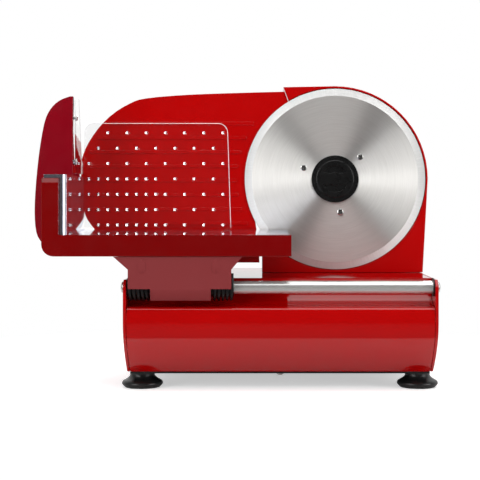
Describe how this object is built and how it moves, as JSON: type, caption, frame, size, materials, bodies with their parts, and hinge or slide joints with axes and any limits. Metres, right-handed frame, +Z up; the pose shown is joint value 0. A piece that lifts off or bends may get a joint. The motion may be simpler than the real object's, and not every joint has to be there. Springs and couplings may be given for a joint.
{
  "type": "food slicer",
  "caption": "Electric food slicer: round steel blade, sliding and tilting steel tray with a clear pusher, and a ribbed guide plate set by a knob.",
  "frame": {"origin": "on the ground under the middle of the slicer's whole footprint", "axes": "+Z up; the user stands at -Y and looks along +Y; +X to the user's right, along the tray's slide"},
  "size_m": [0.4017, 0.2382, 0.3058],
  "materials": {
    "red_gloss_metal": "glossy red enamel",
    "red_gloss_plastic": "glossy red",
    "red_dark_plastic": "satin dark red",
    "red_matte_plastic": "matte red",
    "black_rubber": "satin black",
    "black_plastic": "satin black",
    "black_steel": "black",
    "polished_steel": "mirror polished",
    "blade_steel": "turned, brushed in circles",
    "bright_steel": "bright",
    "nylon": "natural",
    "aluminium": "sheet",
    "clear_plastic": "clear"
  },
  "bodies": {
    "base": {"base_shell": "red_gloss_metal", "end_plate_left": "red_gloss_metal", "end_plate_right": "red_gloss_metal", "bottom_plate": "black_steel", "bottom_screw_front": "bright_steel", "bottom_screw_rear": "bright_steel", "foot_front_left": "black_rubber", "foot_front_right": "black_rubber", "foot_rear_left": "black_rubber", "foot_rear_right": "black_rubber", "slide_rod": "bright_steel", "rod_screw_left": "bright_steel", "rod_screw_right": "bright_steel", "rod_washer_left": "black_plastic", "rod_washer_right": "black_plastic", "blade_housing": "red_gloss_plastic", "gearbox_plate": "aluminium", "motor_mount": "aluminium", "spindle_stud": "bright_steel", "motor_can": "bright_steel", "rear_motor_cover": "red_gloss_plastic", "cover_screw_1": "bright_steel", "cover_screw_2": "bright_steel", "cover_screw_3": "bright_steel", "switch_bezel": "black_plastic", "button_ring": "black_plastic", "cord_gland": "black_plastic"},
    "carriage_sleeve": {"rod_sleeve": "black_plastic", "torsion_spring_left": "black_steel", "torsion_spring_right": "black_steel"},
    "carriage": {"carriage_bracket": "red_matte_plastic", "carriage_glide": "nylon", "bracket_screw_1": "bright_steel", "bracket_screw_2": "bright_steel", "tray_frame": "red_dark_plastic", "steel_tray": "polished_steel"},
    "pusher": {"pusher_plate": "clear_plastic", "pusher_guard": "red_dark_plastic", "pusher_screw_1": "bright_steel", "pusher_screw_2": "bright_steel"},
    "blade": {"blade": "blade_steel", "drive_gear": "nylon", "blade_screw_1": "bright_steel", "blade_screw_2": "bright_steel", "blade_screw_3": "bright_steel"},
    "blade_lock": {"blade_lock": "black_plastic"},
    "reduction": {"reduction_shaft": "bright_steel", "reduction_wheel": "nylon", "reduction_pinion": "bright_steel"},
    "motor_rotor": {"motor_shaft": "bright_steel", "motor_pinion": "bright_steel"},
    "guide": {"guide_plate": "red_gloss_plastic", "guide_carrier": "aluminium", "guide_screw_1": "bright_steel", "guide_screw_2": "bright_steel"},
    "knob": {"thickness_knob": "black_plastic", "knob_cam_shaft": "nylon"},
    "rocker": {"power_rocker": "black_plastic"},
    "button": {"interlock_button": "black_plastic"}
  },
  "joints": [
    {"name": "carriage_slide", "type": "slide", "parent": "base", "child": "carriage_sleeve", "axis": [1, 0, 0], "range_m": [0, 0.1907]},
    {"name": "carriage_tilt", "type": "hinge", "parent": "carriage_sleeve", "child": "carriage", "pos_m": [-0.10207, -0.10115, 0.1018], "axis": [1, 0, 0], "range_deg": [0, 60], "stiffness_Nm_per_rad": 0.15},
    {"name": "pusher_slide", "type": "slide", "parent": "carriage", "child": "pusher", "axis": [0, 1, 0], "range_m": [-0.0451, 0]},
    {"name": "blade_spin", "type": "hinge", "parent": "base", "child": "blade", "pos_m": [0.10278, 0.00685, 0.2081], "axis": [0, 1, 0], "continuous": true},
    {"name": "blade_lock_turn", "type": "hinge", "parent": "blade", "child": "blade_lock", "pos_m": [0.10278, 0.00365, 0.2081], "axis": [0, 1, 0], "range_deg": [0, 45]},
    {"name": "reduction_spin", "type": "hinge", "parent": "base", "child": "reduction", "pos_m": [0.12903, 0.02385, 0.16263], "axis": [0, 1, 0], "continuous": true},
    {"name": "motor_spin", "type": "hinge", "parent": "base", "child": "motor_rotor", "pos_m": [0.09872, 0.03785, 0.18013], "axis": [0, 1, 0], "continuous": true},
    {"name": "guide_plate_slide", "type": "slide", "parent": "base", "child": "guide", "axis": [0, 1, 0], "range_m": [0, 0.015]},
    {"name": "thickness_knob_turn", "type": "hinge", "parent": "base", "child": "knob", "pos_m": [-0.05417, 0.10485, 0.07], "axis": [0, 1, 0], "range_deg": [0, 270]},
    {"name": "power_rocker_tilt", "type": "hinge", "parent": "base", "child": "rocker", "pos_m": [0.10383, 0.10385, 0.0645], "axis": [1, 0, 0], "range_deg": [-14, 0]},
    {"name": "interlock_button_press", "type": "slide", "parent": "base", "child": "button", "axis": [0, -1, 0], "range_m": [0, 0.004], "stiffness_N_per_m": 250}
  ],
  "couplings": [
    {"joint": "reduction_spin", "follows": "blade_spin", "ratio": -6},
    {"joint": "motor_spin", "follows": "blade_spin", "ratio": 36},
    {"joint": "thickness_knob_turn", "follows": "guide_plate_slide", "rad_per_m": 314.16}
  ]
}
